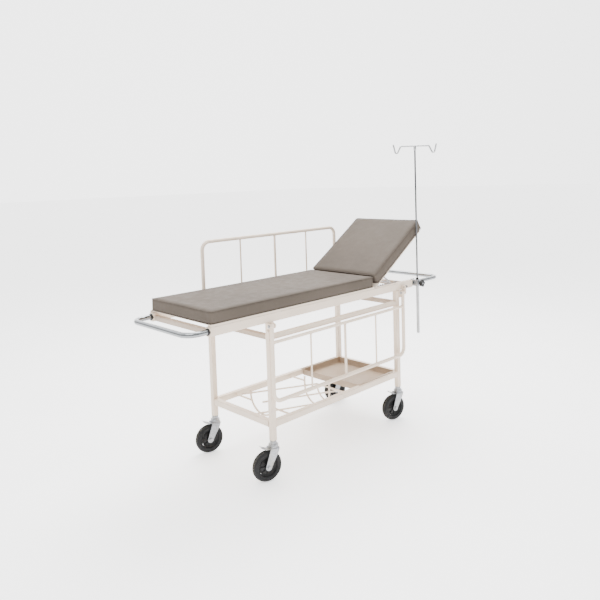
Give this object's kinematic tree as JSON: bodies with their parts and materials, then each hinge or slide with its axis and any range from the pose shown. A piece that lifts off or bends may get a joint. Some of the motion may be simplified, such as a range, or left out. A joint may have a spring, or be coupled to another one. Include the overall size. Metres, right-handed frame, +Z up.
{
  "type": "stretcher trolley",
  "caption": "Wheeled patient stretcher with a raising backrest, swing-down side rails, storage tray, cylinder cradle and drip pole.",
  "frame": {"origin": "on the floor under the middle of the bounding box", "axes": "+X towards the head end, +Y towards the side away from the drip pole, +Z up"},
  "size_m": [1.9214, 0.634, 1.6251],
  "materials": {
    "paint": "cream powder coat, satin",
    "tray_paint": "beige powder coat, satin",
    "chrome": "bright chrome plate",
    "steel": "brushed stainless steel",
    "zinc": "bright zinc plate on pressed steel",
    "vinyl": "taupe vinyl upholstery, fine grain",
    "rubber": "black wheel rubber",
    "black_plastic": "black moulded nylon"
  },
  "bodies": {
    "frame": {"side_beam_near": "paint", "side_beam_far": "paint", "deck_cross_foot": "paint", "deck_cross_middle": "paint", "deck_cross_head": "paint", "deck_panel": "paint", "seat_pad": "vinyl", "lower_rail_near": "paint", "lower_rail_far": "paint", "upper_rail_near": "paint", "upper_rail_far": "paint", "lower_cross_foot": "paint", "lower_cross_head": "paint", "upper_cross_foot": "paint", "upper_cross_head": "paint", "leg_foot_near": "paint", "leg_foot_far": "paint", "leg_head_near": "paint", "leg_head_far": "paint", "push_handle_foot": "chrome", "push_handle_head": "chrome", "prop_rack_near": "zinc", "prop_rack_far": "zinc", "backrest_hinge_rod": "steel", "storage_tray": "tray_paint", "cradle_hoop_foot": "paint", "cradle_hoop_head": "paint", "cradle_basket": "paint", "pole_socket_tube": "steel", "pole_clamp": "zinc"},
    "backrest": {"backrest_frame": "paint"},
    "mattress_back": {"back_pad": "vinyl"},
    "prop": {"backrest_prop": "zinc"},
    "rail_near": {"side_rail_near": "paint"},
    "rail_far": {"side_rail_far": "paint"},
    "latch_near": {"rail_latch_near": "steel"},
    "latch_far": {"rail_latch_far": "steel"},
    "pole": {"pole_rod": "steel"},
    "hooks": {"pole_hooks": "steel"},
    "knob": {"pole_knob": "black_plastic"},
    "caster_foot_near": {"caster_fork_foot_near": "zinc", "caster_axle_foot_near": "zinc"},
    "wheel_foot_near": {"caster_tyre_foot_near": "rubber", "caster_hub_foot_near": "black_plastic"},
    "brake_foot_near": {"caster_brake_foot_near": "zinc"},
    "caster_foot_far": {"caster_fork_foot_far": "zinc", "caster_axle_foot_far": "zinc"},
    "wheel_foot_far": {"caster_tyre_foot_far": "rubber", "caster_hub_foot_far": "black_plastic"},
    "brake_foot_far": {"caster_brake_foot_far": "zinc"},
    "caster_head_near": {"caster_fork_head_near": "zinc", "caster_axle_head_near": "zinc"},
    "wheel_head_near": {"caster_tyre_head_near": "rubber", "caster_hub_head_near": "black_plastic"},
    "brake_head_near": {"caster_brake_head_near": "zinc"},
    "caster_head_far": {"caster_fork_head_far": "zinc", "caster_axle_head_far": "zinc"},
    "wheel_head_far": {"caster_tyre_head_far": "rubber", "caster_hub_head_far": "black_plastic"},
    "brake_head_far": {"caster_brake_head_far": "zinc"}
  },
  "joints": [
    {"name": "backrest_tilt", "type": "hinge", "parent": "frame", "child": "backrest", "pos_m": [0.3065, 0.03697, 0.805], "axis": [0, -1, 0], "range_deg": [-33, 27]},
    {"name": "back_pad_creep", "type": "slide", "parent": "backrest", "child": "mattress_back", "axis": [0.8387, 0, 0.5446], "range_m": [-0.0434, 0.0355]},
    {"name": "prop_fold", "type": "hinge", "parent": "backrest", "child": "prop", "pos_m": [0.41972, 0.03697, 0.87853], "axis": [0, -1, 0], "range_deg": [-54, 66]},
    {"name": "rail_near_swing", "type": "hinge", "parent": "frame", "child": "rail_near", "pos_m": [0.0065, -0.23003, 0.755], "axis": [-1, 0, 0], "range_deg": [0, 180]},
    {"name": "rail_far_swing", "type": "hinge", "parent": "frame", "child": "rail_far", "pos_m": [0.0065, 0.30397, 0.755], "axis": [-1, 0, 0], "range_deg": [0, 180]},
    {"name": "latch_near_slide", "type": "slide", "parent": "frame", "child": "latch_near", "axis": [-1, 0, 0], "range_m": [0, 0.01]},
    {"name": "latch_far_slide", "type": "slide", "parent": "frame", "child": "latch_far", "axis": [-1, 0, 0], "range_m": [0, 0.01]},
    {"name": "pole_height", "type": "slide", "parent": "frame", "child": "pole", "axis": [0, 0, 1], "range_m": [-0.19, 0.03]},
    {"name": "hook_turn", "type": "hinge", "parent": "pole", "child": "hooks", "pos_m": [0.6865, -0.22153, 1.612], "axis": [0, 0, 1], "continuous": true},
    {"name": "knob_turn", "type": "hinge", "parent": "frame", "child": "knob", "pos_m": [0.6865, -0.23453, 0.7895], "axis": [0, -1, 0], "continuous": true},
    {"name": "swivel_foot_near", "type": "hinge", "parent": "frame", "child": "caster_foot_near", "pos_m": [-0.4905, -0.19603, 0.185], "axis": [0, 0, 1], "continuous": true},
    {"name": "roll_foot_near", "type": "hinge", "parent": "caster_foot_near", "child": "wheel_foot_near", "pos_m": [-0.52721, -0.18619, 0.075], "axis": [0.2588, 0.9659, 0], "continuous": true},
    {"name": "brake_foot_near", "type": "hinge", "parent": "caster_foot_near", "child": "brake_foot_near", "pos_m": [-0.50306, -0.19266, 0.153], "axis": [-0.2588, -0.9659, 0], "range_deg": [0, 6]},
    {"name": "swivel_foot_far", "type": "hinge", "parent": "frame", "child": "caster_foot_far", "pos_m": [-0.4905, 0.26997, 0.185], "axis": [0, 0, 1], "continuous": true},
    {"name": "roll_foot_far", "type": "hinge", "parent": "caster_foot_far", "child": "wheel_foot_far", "pos_m": [-0.52721, 0.27981, 0.075], "axis": [0.2588, 0.9659, 0], "continuous": true},
    {"name": "brake_foot_far", "type": "hinge", "parent": "caster_foot_far", "child": "brake_foot_far", "pos_m": [-0.50306, 0.27334, 0.153], "axis": [-0.2588, -0.9659, 0], "range_deg": [0, 6]},
    {"name": "swivel_head_near", "type": "hinge", "parent": "frame", "child": "caster_head_near", "pos_m": [0.5035, -0.19603, 0.185], "axis": [0, 0, 1], "continuous": true},
    {"name": "roll_head_near", "type": "hinge", "parent": "caster_head_near", "child": "wheel_head_near", "pos_m": [0.4668, -0.18619, 0.075], "axis": [0.2588, 0.9659, 0], "continuous": true},
    {"name": "brake_head_near", "type": "hinge", "parent": "caster_head_near", "child": "brake_head_near", "pos_m": [0.49094, -0.19266, 0.153], "axis": [-0.2588, -0.9659, 0], "range_deg": [0, 6]},
    {"name": "swivel_head_far", "type": "hinge", "parent": "frame", "child": "caster_head_far", "pos_m": [0.5035, 0.26997, 0.185], "axis": [0, 0, 1], "continuous": true},
    {"name": "roll_head_far", "type": "hinge", "parent": "caster_head_far", "child": "wheel_head_far", "pos_m": [0.4668, 0.27981, 0.075], "axis": [0.2588, 0.9659, 0], "continuous": true},
    {"name": "brake_head_far", "type": "hinge", "parent": "caster_head_far", "child": "brake_head_far", "pos_m": [0.49094, 0.27334, 0.153], "axis": [-0.2588, -0.9659, 0], "range_deg": [0, 6]}
  ],
  "couplings": [
    {"joint": "back_pad_creep", "follows": "backrest_tilt", "m_per_rad": 0.0753},
    {"joint": "prop_fold", "follows": "backrest_tilt", "ratio": -2}
  ]
}
